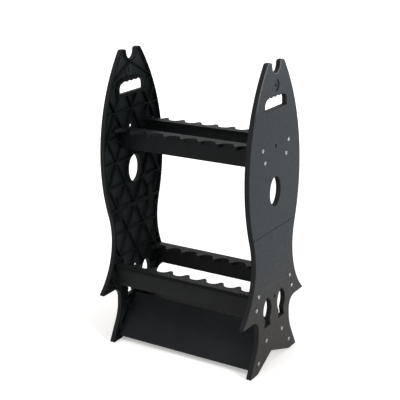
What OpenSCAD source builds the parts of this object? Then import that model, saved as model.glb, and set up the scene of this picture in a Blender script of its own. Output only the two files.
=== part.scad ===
// Free-standing rack for fishing rods: two fish-shaped side panels, each in two moulded halves,
// joined by four notched rod bars and two sloping base boards.
// X runs across the rack, Y from front to back, Z up from the floor. All sizes are in millimetres.

/* [Rack] */
// Width across the outer faces of the side panels
rack_w = 380; // [320:1:460]
// Height from the feet to the lips of the fish
rack_h = 684; // [665:1:710]
// Thickness of a side panel
panel_t = 12; // [10:0.5:16]
// Skin on the outer face of a side panel
skin_t = 3; // [2.5:0.5:5]
// Width of the rim round a side panel
rim_t = 4; // [3:0.5:6]

/* [Body of the fish] */
// Half the depth of the body at its fullest
body_half = 116; // [108:1:124]
// Height at which the body is fullest
body_z = 439; // [425:1:455]
// Half the depth of the waist
waist_half = 86.5; // [80:0.5:94]
// Radius of the waist
waist_r = 169; // [160:1:180]
// Height of the joint between the two halves of a side panel
seam_z = 318; // [300:1:335]

/* [Fins and feet] */
// Height of the underside of the side fins
fin_z = 130; // [124:1:138]
// Radius under the side fins
fin_r = 26; // [20:1:32]
// Radius of the fins' tips
fin_tip_r = 1.2; // [0.6:0.2:2.4]
// Half the depth of the neck above the feet
neck_half = 72.5; // [66:0.5:78]
// Height of the neck
neck_z = 97; // [90:1:102]
// Radius below the neck
neck_r = 105; // [90:1:125]
// Outward slope of the feet from upright, in degrees
foot_flare = 28; // [20:0.5:32]
// Radius of the feet's tips
foot_tip_r = 3; // [1:0.5:5]
// Distance from the middle to the inner end of a foot
foot_in = 75.5; // [68:0.5:82]
// Height of the arch between the feet
arch_h = 32; // [24:1:40]
// Distance of the arch's peak in front of the middle
arch_shift = 12; // [0:1:20]

/* [Mouth and eye] */
// Depth of the mouth
mouth_d = 25; // [18:1:30]
// Radius at the bottom of the mouth
mouth_r = 18; // [14:0.5:19]
// Outward slope of the mouth's sides from upright, in degrees
mouth_slant = 8; // [2:1:16]
// Radius of the lips
lip_r = 6; // [4:0.5:7]
// Distance from the middle of the outer centre of each lip's rounding
lip_y = 32.2; // [30:0.2:38]
// Distance of the eye's centre below the lips
eye_drop = 50; // [44:1:56]
// Diameter of the eye
eye_d = 26; // [20:1:32]
// Depth of the eye below the panel's face
eye_sink = 2; // [1:0.5:3]
// Diameter of the pupil
pupil_d = 6.5; // [4:0.5:10]
// Depth of the pupil below the eye
pupil_depth = 2.5; // [1:0.5:3.5]

/* [Handle] */
// Distance of the slot's straight lower edge below the lips
handle_drop = 99; // [92:1:104]
// Width of the handle slot along its lower edge
handle_w = 95; // [85:1:105]
// Height of the handle slot to the ridges between the finger grips
handle_h = 24; // [18:0.5:26]
// Radius of the slot's upper corners
handle_r = 13; // [11:1:17]
// Number of finger grips along the slot's upper edge
grips = 4; // [3:1:5]
// Radius of each finger grip
grip_r = 16; // [14:1:60]
// Width of the collar round the handle slot
handle_collar = 7; // [4:0.5:9]

/* [Openings in the body] */
// Height of the oval's centre
oval_z = 403; // [390:1:410]
// Width of the oval
oval_w = 47; // [40:1:56]
// Height of the oval
oval_h = 66; // [56:1:74]
// Height of the upper hanging hole
upper_hole_z = 504; // [495:1:520]
// Height of the lower hanging hole
lower_hole_z = 160; // [153:1:175]
// Diameter of a hanging hole
hole_d = 8; // [5:0.5:10]
// Distance of a small fish's centre line from the middle
fish_y = 32.5; // [30:0.5:36]
// Height of a small fish's tail
fish_z = 100; // [94:1:104]
// Length of a small fish
fish_l = 68; // [60:1:76]
// Width of a small fish
fish_w = 35; // [30:1:42]
// Width of a small fish's tail
tail_w = 28; // [24:1:36]
// Length of a small fish's tail
tail_l = 17; // [12:1:22]
// Width of the collar round an opening
collar = 3.5; // [2.5:0.5:5]

/* [Ribs inside the side panels] */
// Length of a side of the triangles between the ribs
cell = 66; // [50:1:90]
// Thickness of a rib
rib_t = 2.5; // [2:0.25:4]
// Distance below the lips of the point where the two ribs over the handle meet
nose_drop = 30; // [29:0.5:34]
// Slope of those two ribs from the level, in degrees
nose_slope = 29; // [24:1:34]
// Diameter of a screw boss
boss_d = 15; // [12:0.5:18]

/* [Rod bars] */
// Number of rods along a bar
rods = 8; // [6:1:9]
// Radius of a rod notch
notch_r = 17; // [12:0.5:18]
// Depth of a bar's notched shelf from front to back
shelf_d = 36; // [32:0.5:42]
// Thickness of the shelf
shelf_t = 8; // [5:0.5:10]
// Thickness of the web under the shelf
web_t = 8; // [5:0.5:10]
// Overhang of the shelf's straight edge beyond the web
web_inset = 4; // [2:0.5:8]
// Height of a bar from the web's lower edge to the shelf's top
bar_h = 49; // [42:1:56]
// Height of the lower screws above the web's lower edge
web_screw_up = 14; // [8:0.5:20]
// Diameter of the screw bosses along the ends of a bar or a board
bar_boss_d = 11; // [9:0.5:13]
// Length of those bosses
bar_boss_l = 11; // [8:0.5:12]
// Height of the upper bars' tops
upper_bar_z = 512; // [500:1:525]
// Distance of the upper bars' straight edges from the middle
upper_bar_y = 40; // [32:0.5:46]
// Height of the lower bars' tops
lower_bar_z = 191; // [184:1:200]
// Distance of the lower bars' straight edges from the middle
lower_bar_y = 91; // [86:0.5:96]

/* [Base boards] */
// Thickness of a base board
base_t = 8; // [6:0.5:10]
// Slope of a base board from the level, in degrees
base_slope = 49; // [42:1:54]
// Distance of a board's upper screw from the middle
base_y = 36.5; // [34:0.5:40]
// Height of a board's upper screw
base_z = 67; // [64:1:70]
// Distance between a board's two screws
base_pitch = 54.5; // [48:0.5:58]
// Width of a board below its lower screw
base_low = 20; // [12:0.5:22]
// Width of a board above its upper screw
base_high = 37; // [20:0.5:38]

/* [Screws and pins] */
// Diameter of a screw's shank
screw_d = 4.2; // [3.5:0.1:5]
// Length of a screw under its head
screw_l = 22; // [18:1:23]
// Diameter of a screw's head
head_d = 9; // [7:0.5:11]
// Height of a screw's head
head_h = 1.4; // [1:0.2:3]
// Diameter of the pins across the joint of a side panel
pin_d = 6; // [4:0.5:7]
// Length of a pin
pin_l = 48; // [36:1:60]
// Distance of the pins from the middle
pin_y = 60; // [50:1:68]

/* [Hidden] */
$fn = 64;

black = "#26282a";
steel = "#c8cacd";

// Clearances, and the overshoot of every cut
screw_clear = 0.3;
pin_clear = 0.1;
cut = 1;
arc_step = 4;
ellipse_steps = 64;

inner_x = rack_w / 2 - panel_t;
pocket_t = panel_t - skin_t;
thread_clear = screw_d + screw_clear;
shank_bore = screw_d + 2 * screw_clear;
seam_groove = 1.2;
boss_drop = 1;
pin_block = pin_d + 10;
tip_l = screw_d;
slot_w = 1.1;
slot_depth = 1;

// Side panel outline, drawn in Y and Z. The argument inset moves it inwards everywhere.

lip_z = rack_h - lip_r;
body_r = (pow(body_half - lip_y, 2) + pow(lip_z - body_z, 2) - pow(lip_r, 2))
    / (2 * (body_half - lip_y - lip_r));
body_c = [body_half - body_r, body_z];
waist_y = waist_half + waist_r;
waist_c = [waist_y, body_z - sqrt(pow(body_r + waist_r, 2) - pow(waist_y - body_c[0], 2))];
flex_a = atan2(waist_c[1] - body_c[1], waist_c[0] - body_c[0]);
mouth_c = [0, rack_h - mouth_d + mouth_r];
outer_lip_c = [lip_y, lip_z];
outer_lip_a = atan2(lip_z - body_z, outer_lip_c[0] - body_c[0]);
inner_lip_reach = (lip_z - mouth_c[1] + sin(mouth_slant) * (mouth_r + lip_r)) / cos(mouth_slant);
inner_lip_c = mouth_c + (mouth_r + lip_r) * [cos(mouth_slant), -sin(mouth_slant)]
    + inner_lip_reach * [sin(mouth_slant), cos(mouth_slant)];
fin_c = [neck_half + fin_r, fin_z - fin_r];
neck_c = [neck_half + neck_r, neck_z];

function arc(c, r, from, to) =
    let (n = max(2, ceil(abs(to - from) / arc_step)))
    [for (i = [0:n]) let (a = from + (to - from) * i / n) c + r * [cos(a), sin(a)]];

// Slopes of the arch's two sides, behind and in front of its peak
function arch_m(side) = -arch_h / (foot_in + side * arch_shift);
function arch_k(side) = sqrt(1 + pow(arch_m(side), 2));

function fin_tip(inset) =
    let (z = fin_z + inset)
    [waist_c[0] - sqrt(pow(waist_r + inset, 2) - pow(z - waist_c[1], 2)), z];

function foot_tip(inset) =
    let (r = neck_r + inset)
    [neck_c[0] - r * cos(foot_flare)
        + (neck_c[1] - r * sin(foot_flare) - inset) * tan(foot_flare), inset];

// Rounds the corner between two straight lines
function corner_arc(before, corner, after, r) =
    let (u = (before - corner) / norm(before - corner), v = (after - corner) / norm(after - corner),
        half = acos(u * v) / 2, c = corner + (u + v) / norm(u + v) * r / sin(half),
        s = corner + u * r / tan(half) - c, e = corner + v * r / tan(half) - c,
        from = atan2(s[1], s[0]), n = 6)
    [for (i = [0:n]) let (a = from + i / n * atan2(s[0] * e[1] - s[1] * e[0], s * e))
        c + r * [cos(a), sin(a)]];

// Angle of the waist's radius at a fin's tip, and how far before the tip the waist's arc ends
function fin_a(inset) = asin((waist_c[1] - fin_z - inset) / (waist_r + inset));
fin_cut = (fin_tip_r / tan((90 - fin_a(0)) / 2) + 1) / waist_r * 180 / PI;

function foot_heel(inset, side) = [foot_in + inset * (1 - arch_k(side)) / arch_m(side), inset];

function arch_peak(inset) =
    let (y = (arch_m(1) * foot_in - arch_m(-1) * foot_in + inset * (arch_k(-1) - arch_k(1)))
        / (arch_m(1) + arch_m(-1)))
    [y, arch_m(1) * (y - foot_in) + inset * arch_k(1)];

// One side of the outline from the mouth down to the heel; side is 1 behind and -1 in front
function flank(inset, side) = concat(
    arc(mouth_c, mouth_r + inset, -90, -mouth_slant),
    arc(inner_lip_c, lip_r - inset, 180 - mouth_slant, 90),
    arc(outer_lip_c, lip_r - inset, 90, outer_lip_a),
    arc(body_c, body_r - inset, outer_lip_a, flex_a),
    arc(waist_c, waist_r + inset, 180 + flex_a, 180 + fin_a(inset) - (inset > 0 ? 0 : fin_cut)),
    inset > 0 ? [fin_tip(inset)] : corner_arc(fin_tip(0) + [-sin(fin_a(0)), cos(fin_a(0))],
        fin_tip(0), fin_tip(0) - [1, 0], fin_tip_r),
    arc(fin_c, fin_r + inset, 90, 180),
    arc(neck_c, neck_r + inset, 180, 180 + foot_flare),
    inset > 0 ? [foot_tip(inset)] : corner_arc(foot_tip(0) + [-sin(foot_flare), cos(foot_flare)],
        foot_tip(0), foot_tip(0) - [1, 0], foot_tip_r),
    [foot_heel(inset, side)]
);

function swap_side(points) =
    [for (i = [len(points) - 1:-1:0]) [-points[i][0], points[i][1]]];

module outline(inset = 0) {
    polygon(concat(flank(inset, 1), [arch_peak(inset)], swap_side(flank(inset, -1))));
}

// Openings of a side panel, drawn in Y and Z. The argument grow widens them for their collars.

module handle_slot(grow = 0) {
    low = rack_h - handle_drop - grow;
    high = rack_h - handle_drop + handle_h + grow;
    r = handle_r + grow;
    flat = handle_w / 2 - handle_r;
    grip_w = 2 * flat / grips;
    dip = grip_r - sqrt(pow(grip_r, 2) - pow(grip_w / 2, 2));
    grip_a = grow > 0 ? 0 : asin(grip_w / 2 / grip_r);
    polygon(concat(
        [[-flat - r, low], [flat + r, low]],
        arc([flat, high - r], r, 0, 90),
        grow > 0 ? [] : [for (i = [grips - 1:-1:0])
            each arc([-flat + (i + 0.5) * grip_w, high + dip - grip_r], grip_r,
                90 - grip_a, 90 + grip_a)],
        arc([-flat, high - r], r, 90, 180)
    ));
}

module oval_hole(grow = 0) {
    polygon([for (i = [0:ellipse_steps - 1]) let (a = 360 * i / ellipse_steps)
        [(oval_w / 2 + grow) * cos(a), oval_z + (oval_h / 2 + grow) * sin(a)]]);
}

// A fish standing on its tail: two arcs that meet at the nose, over a flared tail
module small_fish(y, grow = 0) {
    half_l = (fish_l - tail_l / 2) / 2;
    r = (pow(half_l, 2) + pow(fish_w / 2, 2)) / fish_w;
    middle = fish_z + fish_l - half_l;
    root_w = fish_w - 2 * (r - sqrt(pow(r, 2) - pow(middle - fish_z - tail_l, 2)));
    translate([y, 0]) {
        intersection() {
            translate([r - fish_w / 2, middle]) circle(r + grow);
            translate([fish_w / 2 - r, middle]) circle(r + grow);
        }
        polygon([
            [-tail_w / 2 - grow, fish_z - grow], [tail_w / 2 + grow, fish_z - grow],
            [root_w / 2 + grow, fish_z + tail_l + grow], [-root_w / 2 - grow, fish_z + tail_l + grow]
        ]);
    }
}

module openings(grow = 0) {
    handle_slot(grow > 0 ? handle_collar : 0);
    oval_hole(grow);
    for (side = [-1, 1]) small_fish(side * fish_y, grow);
}

// Places in Y and Z of the screws of each bar and board, for one side of the middle

shelf_screw = [shelf_d / 2, -bar_boss_d / 2 - boss_drop];
web_screw = [web_inset + web_t / 2, web_screw_up - bar_h];
upper_screws = [for (p = [shelf_screw, web_screw]) [upper_bar_y + p[0], upper_bar_z + p[1]]];
lower_screws = [for (p = [shelf_screw, web_screw]) [lower_bar_y - p[0], lower_bar_z + p[1]]];
base_dir = [cos(base_slope), -sin(base_slope)];
base_screws = [for (s = [0, base_pitch]) [base_y, base_z] + s * base_dir];
screw_places = concat(upper_screws, lower_screws, base_screws);
hole_places = [upper_hole_z, lower_hole_z];

// Ribs in three directions, which leave triangles between them up to a level rib beside the handle
rib_row = cell * sin(60);
top_row = floor((rack_h - handle_drop + handle_h - seam_z) / rib_row);

module rib_grid() {
    reach = rack_h;
    intersection() {
        band(-cut, seam_z + top_row * rib_row + rib_t / 2);
        for (turn = [0, 60, 120])
            translate([0, seam_z]) rotate(turn)
                for (k = [-ceil(reach / rib_row):ceil(reach / rib_row)])
                    translate([-reach, k * rib_row - rib_t / 2]) square([2 * reach, rib_t]);
    }
}

// Two ribs that meet under the mouth and slope down to the rim on both sides
module nose_ribs() {
    for (side = [0, 1])
        translate([0, rack_h - nose_drop]) mirror([side, 0]) rotate(-nose_slope)
            translate([-rib_t, -rib_t / 2]) square([body_half, rib_t]);
}

// What stands between the skin and the inner face, besides the rim
module stiffening() {
    rib_grid();
    nose_ribs();
    openings(collar);
    for (side = [-1, 1]) for (p = screw_places)
        translate([side * p[0], p[1]]) circle(d = boss_d);
    translate([-rack_h / 2, seam_z - rim_t]) square([rack_h, 2 * rim_t]);
    for (side = [-1, 1])
        translate([side * pin_y - pin_block / 2, seam_z - pin_l / 2 - rim_t])
            square([pin_block, pin_l + 2 * rim_t]);
}

// Lays a shape drawn in Y and Z upright, from x to x + t
module upright(x, t) {
    translate([x, 0, 0]) rotate([90, 0, 90]) linear_extrude(t) children();
}

module band(low, high) {
    translate([-rack_h / 2, low]) square([rack_h, high - low]);
}

// One half of the right side panel, between two heights
module side_half(low, high) {
    difference() {
        upright(inner_x, panel_t) intersection() {
            outline();
            band(low, high);
        }
        upright(inner_x - cut, pocket_t + cut) intersection() {
            difference() {
                outline(rim_t);
                stiffening();
            }
            band(low, high);
        }
        upright(inner_x - cut, panel_t + 2 * cut) openings();
        for (side = [-1, 1]) for (p = screw_places)
            translate([inner_x - cut, side * p[0], p[1]])
                rotate([0, 90, 0]) cylinder(h = panel_t + 2 * cut, d = shank_bore);
        for (z = hole_places)
            translate([inner_x - cut, 0, z])
                rotate([0, 90, 0]) cylinder(h = panel_t + 2 * cut, d = hole_d);
        for (side = [-1, 1])
            translate([inner_x + panel_t / 2, side * pin_y, seam_z - pin_l / 2 - pin_clear])
                cylinder(h = pin_l + 2 * pin_clear, d = pin_d + 2 * pin_clear);
        translate([rack_w / 2, 0, seam_z]) rotate([0, 45, 0])
            cube([seam_groove, rack_h, seam_groove], center = true);
    }
}

// Disc on the eye's axis, between two depths below the outer face
module eye_disc(top, bottom, d) {
    translate([rack_w / 2 - bottom, 0, rack_h - eye_drop]) rotate([0, 90, 0])
        cylinder(h = bottom - top, d = d);
}

// The skin keeps its thickness behind the sunken eye and its pupil
module side_upper() {
    difference() {
        union() {
            side_half(seam_z, rack_h + cut);
            eye_disc(skin_t / 2, skin_t + eye_sink, eye_d + skin_t);
            eye_disc(skin_t / 2, skin_t + eye_sink + pupil_depth, pupil_d + skin_t);
        }
        eye_disc(-cut, eye_sink, eye_d);
        eye_disc(0, eye_sink + pupil_depth, pupil_d);
    }
}

module side_lower() {
    side_half(-cut, seam_z);
}

// Rod bar: a notched shelf over a web. It is drawn from its straight edge at y = 0 towards the
// notches, with the shelf's top at z = 0.

rod_pitch = 2 * inner_x / rods;
tooth_r = (pow(rod_pitch / 2, 2) - pow(notch_r, 2)) / (2 * notch_r);
tooth_a = atan2(tooth_r, rod_pitch / 2);

// Round the tooth that stands i pitches from the left end, from right to left
function tooth(i) =
    arc([-inner_x + i * rod_pitch, shelf_d - tooth_r], tooth_r,
        i == rods ? 90 : tooth_a, i == 0 ? 90 : 180 - tooth_a);

// Round the notch to the left of tooth i
function notch(i) =
    i == 0 ? [] : arc([-inner_x + (i - 0.5) * rod_pitch, shelf_d], notch_r,
        -tooth_a, tooth_a - 180);

module shelf_shape() {
    polygon(concat([[-inner_x, 0], [inner_x, 0]],
        [for (i = [rods:-1:0]) each concat(tooth(i), notch(i))]));
}

module end_boss(end, y, z) {
    translate([end * (inner_x - bar_boss_l / 2), y, z]) rotate([0, 90, 0])
        cylinder(h = bar_boss_l, d = bar_boss_d, center = true);
}

module end_bore(end, y, z) {
    translate([end * (inner_x - bar_boss_l / 2), y, z]) rotate([0, 90, 0])
        cylinder(h = bar_boss_l + 2 * cut, d = thread_clear, center = true);
}

module rod_bar() {
    difference() {
        union() {
            translate([0, 0, -shelf_t]) linear_extrude(shelf_t) shelf_shape();
            translate([-inner_x, web_inset, -bar_h]) cube([2 * inner_x, web_t, bar_h - shelf_t]);
            for (end = [-1, 1]) for (p = [shelf_screw, web_screw]) end_boss(end, p[0], p[1]);
        }
        for (end = [-1, 1]) for (p = [shelf_screw, web_screw]) end_bore(end, p[0], p[1]);
    }
}

module upper_bar(side) {
    color(black) translate([0, side * upper_bar_y, upper_bar_z])
        mirror([0, side < 0 ? 1 : 0, 0]) rod_bar();
}

module lower_bar(side) {
    color(black) translate([0, side * lower_bar_y, lower_bar_z])
        mirror([0, side > 0 ? 1 : 0, 0]) rod_bar();
}

// Base board behind the middle: it slopes down from the middle towards the back
module base_board(side) {
    width = base_high + base_pitch + base_low;
    middle = [base_y, base_z] + (width / 2 - base_high) * base_dir;
    color(black) mirror([0, side < 0 ? 1 : 0, 0]) difference() {
        union() {
            translate([0, middle[0], middle[1]]) rotate([-base_slope, 0, 0])
                cube([2 * inner_x, width, base_t], center = true);
            for (end = [-1, 1]) for (p = base_screws) end_boss(end, p[0], p[1]);
        }
        for (end = [-1, 1]) for (p = base_screws) end_bore(end, p[0], p[1]);
    }
}

// Screw with a pan head and a crossed slot, driven in from the right side panel's outer face
module screw(y, z) {
    translate([rack_w / 2, y, z]) rotate([0, 90, 0]) difference() {
        union() {
            cylinder(h = head_h, d1 = head_d, d2 = head_d * 0.72);
            translate([0, 0, tip_l - screw_l]) cylinder(h = screw_l - tip_l, d = screw_d);
            translate([0, 0, -screw_l]) cylinder(h = tip_l, d1 = screw_d / 3, d2 = screw_d);
        }
        for (turn = [0, 90]) rotate(turn)
            translate([-head_d / 4, -slot_w / 2, head_h - slot_depth])
                cube([head_d / 2, slot_w, slot_depth + cut]);
    }
}

module screws(places, side) {
    color(steel) for (end = [0, 1]) mirror([end, 0, 0])
        for (p = places) screw(side * p[0], p[1]);
}

module joint_pins() {
    color(steel) for (side = [-1, 1])
        translate([inner_x + panel_t / 2, side * pin_y, seam_z - pin_l / 2])
            cylinder(h = pin_l, d = pin_d);
}

module left_side_upper() { color(black) mirror([1, 0, 0]) side_upper(); }
module left_side_lower() { color(black) mirror([1, 0, 0]) side_lower(); }
module right_side_upper() { color(black) side_upper(); }
module right_side_lower() { color(black) side_lower(); }
module upper_front_bar() { upper_bar(-1); }
module upper_rear_bar() { upper_bar(1); }
module lower_front_bar() { lower_bar(-1); }
module lower_rear_bar() { lower_bar(1); }
module front_base_board() { base_board(-1); }
module rear_base_board() { base_board(1); }
module left_joint_pins() { mirror([1, 0, 0]) joint_pins(); }
module right_joint_pins() { joint_pins(); }
module upper_front_screws() { screws(upper_screws, -1); }
module upper_rear_screws() { screws(upper_screws, 1); }
module lower_front_screws() { screws(lower_screws, -1); }
module lower_rear_screws() { screws(lower_screws, 1); }
module front_base_screws() { screws(base_screws, -1); }
module rear_base_screws() { screws(base_screws, 1); }

left_side_upper();
left_side_lower();
right_side_upper();
right_side_lower();
upper_front_bar();
upper_rear_bar();
lower_front_bar();
lower_rear_bar();
front_base_board();
rear_base_board();
left_joint_pins();
right_joint_pins();
upper_front_screws();
upper_rear_screws();
lower_front_screws();
lower_rear_screws();
front_base_screws();
rear_base_screws();
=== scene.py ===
"""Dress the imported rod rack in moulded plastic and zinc, in a plain studio.

Two fish-shaped side panels, each in an upper and a lower half, stand left and right of four notched
rod bars and two sloping base boards. Pan-head screws hold the bars and boards, and steel pins hold
the halves of each panel together. Sizes are in millimetres, and the meshes are written in metres.
"""

import logging
import math
from collections.abc import Iterable, Sequence
from dataclasses import dataclass, field, replace
from enum import Enum, IntEnum

import bmesh
import bpy
from mathutils import Matrix, Vector
from mathutils.geometry import delaunay_2d_cdt


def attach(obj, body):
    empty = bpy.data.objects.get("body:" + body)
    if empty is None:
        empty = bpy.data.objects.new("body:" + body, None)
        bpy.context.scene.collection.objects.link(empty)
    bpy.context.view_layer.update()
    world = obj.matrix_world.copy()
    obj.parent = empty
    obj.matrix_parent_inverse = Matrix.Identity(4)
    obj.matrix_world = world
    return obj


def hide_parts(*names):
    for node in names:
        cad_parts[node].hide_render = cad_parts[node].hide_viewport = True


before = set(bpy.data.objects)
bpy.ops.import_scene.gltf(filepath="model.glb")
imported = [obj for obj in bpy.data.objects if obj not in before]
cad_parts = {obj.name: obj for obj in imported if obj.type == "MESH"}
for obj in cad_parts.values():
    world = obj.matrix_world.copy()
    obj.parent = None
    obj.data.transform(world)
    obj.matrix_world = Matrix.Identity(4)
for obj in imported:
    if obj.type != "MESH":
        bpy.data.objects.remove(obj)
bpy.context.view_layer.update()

Point = tuple[float, float]
Colour = tuple[float, float, float]
Place = tuple[float, float, float]

MM = 0.001
BODY = "root"

# Distances below which two points count as one, and by which a cutter reaches past what it cuts
WELD = 1e-4
MERGE = 1e-5
OVERCUT = 1.0

# Largest angles between two points of a curve, in degrees, from long curves to short ones
FLANK_STEP = 1.5
WAIST_STEP = 2.0
NECK_STEP = 3.0
ARC_STEP = 4.0
CORNER_STEP = 6.0
BOSS_STEP = 10.0
TIP_STEP = 12.0
BORE_STEP = 15.0
EDGE_STEP = 18.0

# Facets round the pieces that are turned on their own axis
FINE_SIDES = 64
HEAD_SIDES = 40
PIN_SIDES = 32

# Sine of the turn at a corner below which the outline counts as straight there
NEARLY_STRAIGHT = 0.02

# Share of a margin that a point of the field inside it has to keep from the outline
FIELD_SHARE = 0.995

# Angle between two faces below which they become one, in degrees
SAME_PLANE = 0.5

# Least areas of the faces that are kept quite flat, in square millimetres:
# that of a face square to an axis, and that of any other
NARROW_FLAT = 25.0
WIDE_FLAT = 400.0

# How far a direction's largest part may stay below 1 for the direction to count as that of an axis
SQUARE = 1e-6

# Weight of a face's size in the normals of its corners, in per cent
FACE_WEIGHT = 80

# Noise values between which an effect sets in: flow marks, rubbed patches and sheen of plastic,
# dull colour and dull sheen of zinc
FLOW_RANGE = (0.35, 0.75)
RUB_RANGE = (0.62, 0.78)
SHEEN_RANGE = (0.35, 0.7)
DULL_RANGE = (0.4, 0.7)
HAZE_RANGE = (0.35, 0.75)

log = logging.getLogger("rod_rack")


class Hand(Enum):
    """Which side panel a piece belongs to; the value is the sign of X."""

    LEFT = -1
    RIGHT = 1


class Row(Enum):
    """Which side of the middle a bar or a board lies on; the value is the sign of Y."""

    FRONT = -1
    REAR = 1


class Storey(Enum):
    """Which half of a side panel a piece is."""

    UPPER = "upper"
    LOWER = "lower"


# Plane geometry


def arc(centre: Point, radius: float, start: float, end: float, step: float = ARC_STEP) -> list[Point]:
    """Lay points along an arc, both ends included.

    Args:
        centre: Centre of the arc.
        radius: Its radius.
        start: Angle of the first point, in degrees.
        end: Angle of the last point, in degrees.
        step: Largest angle between two points, in degrees.

    Returns:
        The points in order from start to end.
    """
    count = max(2, math.ceil(abs(end - start) / step))
    angles = (math.radians(start + (end - start) * i / count) for i in range(count + 1))
    return [(centre[0] + radius * math.cos(a), centre[1] + radius * math.sin(a)) for a in angles]


def rounded_corner(before: Point, corner: Point, after: Point, radius: float) -> list[Point]:
    """Replace a corner between two straight lines by an arc.

    Args:
        before: A point on the line that leads to the corner.
        corner: The sharp corner.
        after: A point on the line that leaves it.
        radius: Radius of the arc.

    Returns:
        Points on the arc, from the first line to the second.
    """
    c = Vector(corner)
    a, b = (Vector(before) - c).normalized(), (Vector(after) - c).normalized()
    half = a.angle(b) / 2
    centre = c + (a + b).normalized() * radius / math.sin(half)
    start = c + a * radius / math.tan(half) - centre
    end = c + b * radius / math.tan(half) - centre
    first = math.degrees(math.atan2(start.y, start.x))
    turn = math.degrees(math.atan2(start.x * end.y - start.y * end.x, start.dot(end)))
    return arc(tuple(centre), radius, first, first + turn, TIP_STEP)


def mirrored(points: Sequence[Point]) -> list[Point]:
    """Mirror points in the line u = 0 and reverse their order."""
    return [(-u, v) for u, v in reversed(points)]


def rectangle(low: Point, high: Point) -> list[Point]:
    """Give the corners of an upright rectangle, counter-clockwise."""
    return [low, (high[0], low[1]), high, (low[0], high[1])]


def strip(start: Vector, end: Vector, across: Vector) -> list[Point]:
    """Give the corners of a straight strip that reaches as far to each side as a vector across it."""
    return [tuple(p) for p in (start - across, end - across, end + across, start + across)]


@dataclass(frozen=True)
class Outline:
    """A closed line, counter-clockwise, in millimetres.

    Attributes:
        points: Its corners in order.
        joint: Height of an edge that butts against another moulding, if it has one.
        joint_share: How far that edge moves when the outline is inset, as a share of the rest.
    """

    points: tuple[Point, ...]
    joint: float | None = None
    joint_share: float = 0.35

    @classmethod
    def through(cls, points: Iterable[Point], joint: float | None = None) -> "Outline":
        """Make an outline through points, without doubles and counter-clockwise.

        Args:
            points: The corners in either order.
            joint: Height of the edge that butts against another moulding, if any.

        Returns:
            The outline.
        """
        kept: list[Point] = []
        for point in points:
            if not kept or math.dist(point, kept[-1]) > WELD:
                kept.append(point)
        if math.dist(kept[0], kept[-1]) <= WELD:
            kept.pop()
        area = sum(a[0] * b[1] - b[0] * a[1] for a, b in zip(kept, kept[1:] + kept[:1]))
        return cls(tuple(kept if area > 0 else reversed(kept)), joint)

    def _speed(self, a: Point, b: Point, evenly: bool) -> float:
        """Give the share of an inset by which the edge from a to b moves."""
        on_joint = self.joint is not None and abs(a[1] - self.joint) + abs(b[1] - self.joint) < WELD
        return self.joint_share if on_joint and not evenly else 1.0

    def inset(self, distance: float, evenly: bool = False) -> list[Point]:
        """Move every edge inwards.

        Args:
            distance: How far; a negative distance moves the edges outwards.
            evenly: Whether the joint's edge moves as far as the others.

        Returns:
            The moved corners, in the same order.
        """
        edges = []
        for a, b in zip(self.points, self.points[1:] + self.points[:1]):
            length = math.dist(a, b)
            normal = ((a[1] - b[1]) / length, (b[0] - a[0]) / length)
            edges.append((normal, distance * self._speed(a, b, evenly)))
        moved = []
        for i, (u, v) in enumerate(self.points):
            (n1, d1), (n2, d2) = edges[i - 1], edges[i]
            cross = n1[0] * n2[1] - n1[1] * n2[0]
            if abs(cross) < NEARLY_STRAIGHT:
                shift = ((n1[0] * d1 + n2[0] * d2) / 2, (n1[1] * d1 + n2[1] * d2) / 2)
            else:
                shift = ((d1 * n2[1] - d2 * n1[1]) / cross, (n1[0] * d2 - n2[0] * d1) / cross)
            moved.append((u + shift[0], v + shift[1]))
        return moved

    def gap(self, point: Point) -> float:
        """Give a point's distance from the nearest edge."""
        near = math.inf
        for a, b in zip(self.points, self.points[1:] + self.points[:1]):
            u, v = b[0] - a[0], b[1] - a[1]
            share = ((point[0] - a[0]) * u + (point[1] - a[1]) * v) / (u**2 + v**2)
            share = min(1.0, max(0.0, share))
            near = min(near, math.dist(point, (a[0] + share * u, a[1] + share * v)))
        return near

    def field(self, margin: float) -> list[Point]:
        """Give the field inside a margin of even width, also where the outline is narrow.

        Args:
            margin: Width of the margin.

        Returns:
            The corners of the field.
        """
        moved = self.inset(margin, evenly=True)
        return [point for point in moved if self.gap(point) > margin * FIELD_SHARE]


# Solids


@dataclass(frozen=True)
class Rounding:
    """How far a prism's edges are rounded over at its two ends, in millimetres.

    Attributes:
        low: Radius at the lower end.
        high: Radius at the upper end.
        steps: Flat strips across each rounding.
    """

    low: float
    high: float
    steps: int = 4

    def levels(self, low: float, high: float) -> list[tuple[float, float]]:
        """Give the heights of a prism's rings with the inset of each.

        Args:
            low: Height of the lower end.
            high: Height of the upper end.

        Returns:
            Pairs of height and inset, from the lower end to the upper one.
        """
        turns = [math.pi / 2 * i / self.steps for i in range(self.steps + 1)]
        rise = [(low + self.low * (1 - math.cos(t)), self.low * (1 - math.sin(t))) for t in turns]
        fall = [(high - self.high * (1 - math.cos(t)), self.high * (1 - math.sin(t))) for t in turns]
        return rise + fall[::-1]


# The edges of a solid that is only joined to another or cut from it
SHARP = Rounding(0.01, 0.01, 1)


def triangles_in(
    loops: Sequence[Sequence[Point]],
) -> tuple[list[Point], list[tuple[int, ...]], list[list[int]]]:
    """Divide the area inside the first loop and outside all others into triangles.

    Args:
        loops: The outer loop, then the loops that are left out. They may cross.

    Returns:
        The points, the triangles as indices of points, and for each point the input corners it came from.
    """
    corners = [Vector(point) for loop in loops for point in loop]
    faces, start = [], 0
    for loop in loops:
        faces.append(list(range(start, start + len(loop))))
        start += len(loop)
    points, _, found, origins, _, owners = delaunay_2d_cdt(corners, [], faces, 0, MERGE)
    kept = [tuple(face) for face, owner in zip(found, owners) if list(owner) == [0]]
    return [tuple(point) for point in points], kept, origins


def closed(mesh: bmesh.types.BMesh) -> bmesh.types.BMesh:
    """Turn all faces of a closed mesh outwards."""
    bmesh.ops.recalc_face_normals(mesh, faces=mesh.faces)
    return mesh


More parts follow.
